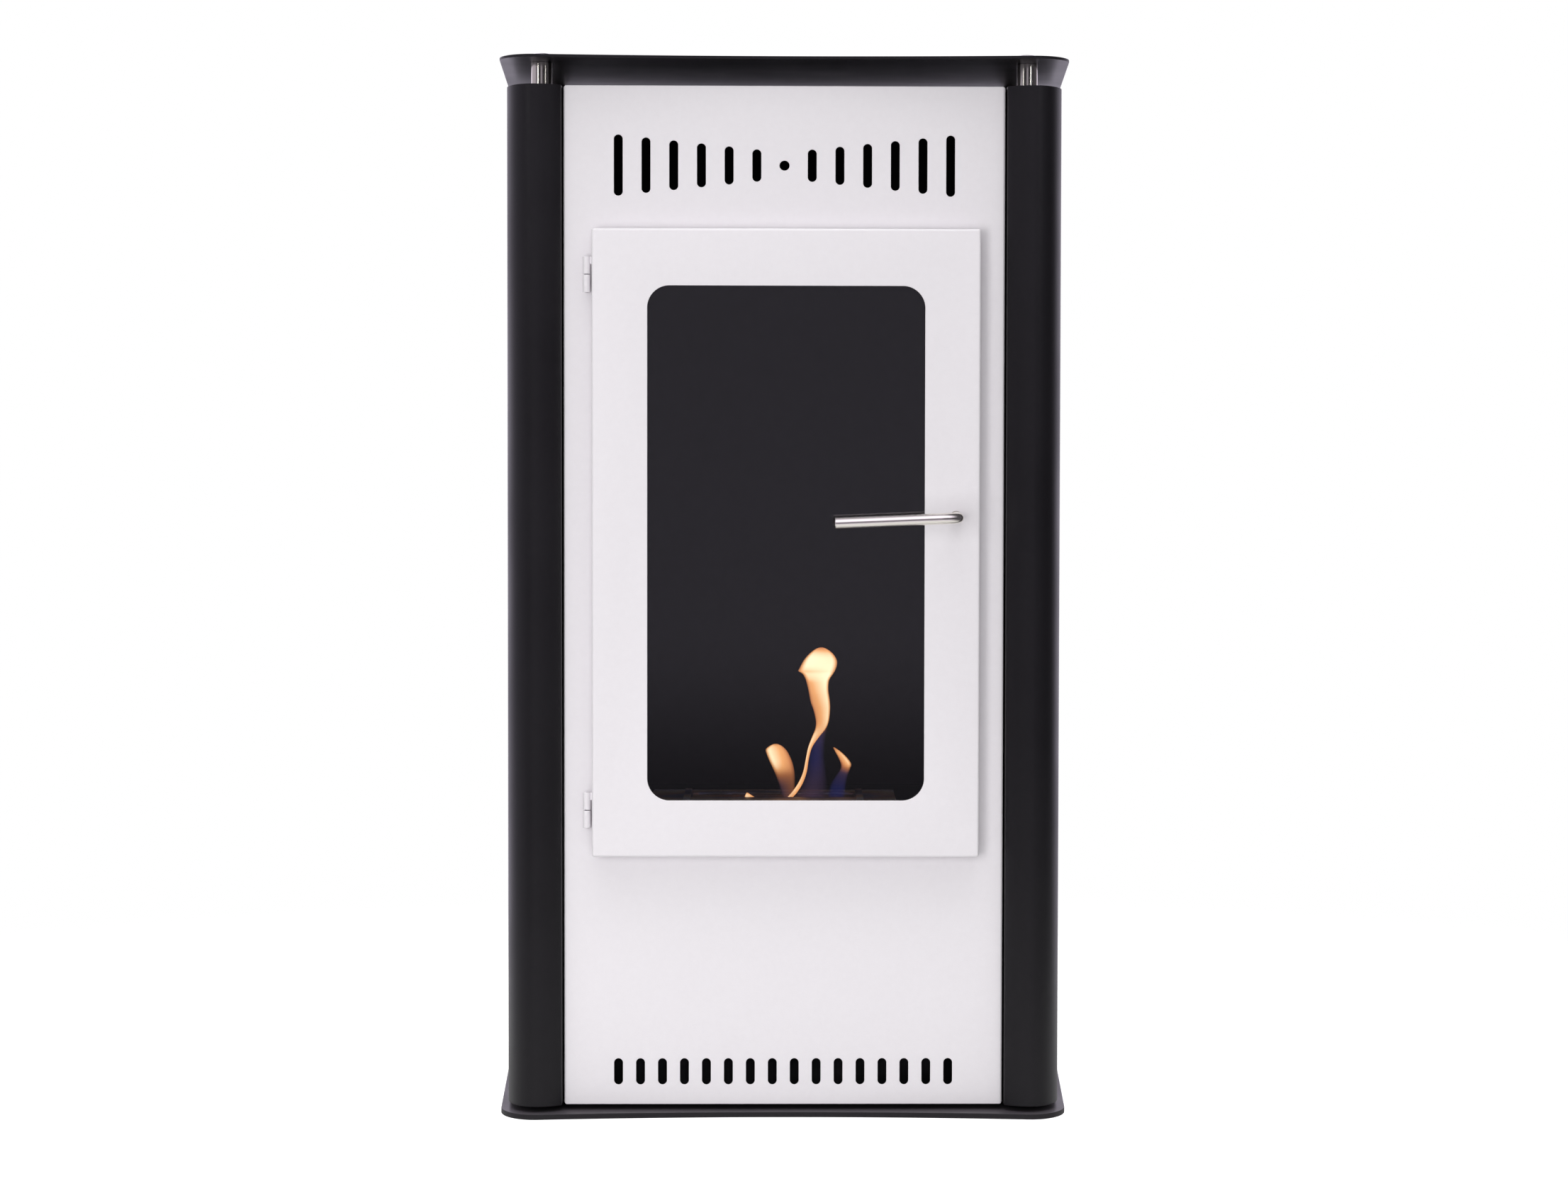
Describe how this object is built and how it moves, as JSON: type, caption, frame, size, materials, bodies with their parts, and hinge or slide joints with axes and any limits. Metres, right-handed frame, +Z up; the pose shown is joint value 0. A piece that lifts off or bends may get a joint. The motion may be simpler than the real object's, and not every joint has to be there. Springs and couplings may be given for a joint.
{
  "type": "bioethanol fireplace",
  "caption": "Free-standing bioethanol fireplace: black steel casing, white front, glazed hinged door with turning lever, lift-out burner with sliding snuffer lid, raised top plate.",
  "frame": {"origin": "on the floor, at the centre of the base plate's footprint", "axes": "+Z up, the door faces -Y, +X to the right as seen from the front"},
  "size_m": [0.536, 0.3705, 0.9645],
  "materials": {
    "black_powder_coat": "fine-textured satin powder coat",
    "white_powder_coat": "smooth satin powder coat",
    "chamber_black": "matt heat-resistant paint",
    "brushed_stainless": "brushed",
    "burner_stainless": "satin, heat-darkened",
    "zinc_steel": "zinc plated",
    "door_glass": "polished ceramic glass",
    "black_gasket": "matt",
    "seal_rope": "knitted glass-fibre rope",
    "ceramic_wool": "felted ceramic fibre",
    "brass_bush": "machined"
  },
  "bodies": {
    "casing": {"base_plate": "black_powder_coat", "base_spacers": "chamber_black", "base_screws": "zinc_steel", "bottom_tray": "chamber_black", "corner_posts": "chamber_black", "hearth_rails": "chamber_black", "side_shell_left": "black_powder_coat", "side_shell_right": "black_powder_coat", "front_panel": "white_powder_coat", "back_panel": "black_powder_coat", "back_panel_screws": "zinc_steel", "hearth_plate": "chamber_black", "chamber_back": "chamber_black", "chamber_left": "chamber_black", "chamber_right": "chamber_black", "chamber_ceiling": "chamber_black", "top_deck": "black_powder_coat", "standoffs": "brushed_stainless", "standoff_bolts": "brushed_stainless", "top_plate": "black_powder_coat", "hinge_frame_knuckles": "white_powder_coat", "hinge_pins": "zinc_steel", "latch_keeper": "zinc_steel"},
    "door": {"door_skin": "white_powder_coat", "glass_gasket": "black_gasket", "door_glass": "door_glass", "glass_retainer": "chamber_black", "retainer_screws": "zinc_steel", "door_rope_seal": "seal_rope", "hinge_door_knuckles": "white_powder_coat", "handle_bush": "brass_bush"},
    "handle": {"handle_rod": "brushed_stainless", "latch_tongue": "zinc_steel", "tongue_nut": "zinc_steel"},
    "burner": {"burner_tank": "burner_stainless", "burner_flange": "burner_stainless", "burner_wool": "ceramic_wool", "lid_rails": "burner_stainless"},
    "snuffer": {"snuffer_lid": "burner_stainless"}
  },
  "joints": [
    {"name": "door_hinge", "type": "hinge", "parent": "casing", "child": "door", "pos_m": [-0.1782, -0.1425, 0.5215], "axis": [0, 0, -1], "range_deg": [0, 120]},
    {"name": "handle_turn", "type": "hinge", "parent": "door", "child": "handle", "pos_m": [0.155, -0.1545, 0.546], "axis": [0, -1, 0], "range_deg": [0, 88]},
    {"name": "burner_lift", "type": "slide", "parent": "casing", "child": "burner", "axis": [0, 0, 1], "range_m": [0, 0.08]},
    {"name": "lid_slide", "type": "slide", "parent": "burner", "child": "snuffer", "axis": [0, 1, 0], "range_m": [0, 0.0645]}
  ]
}
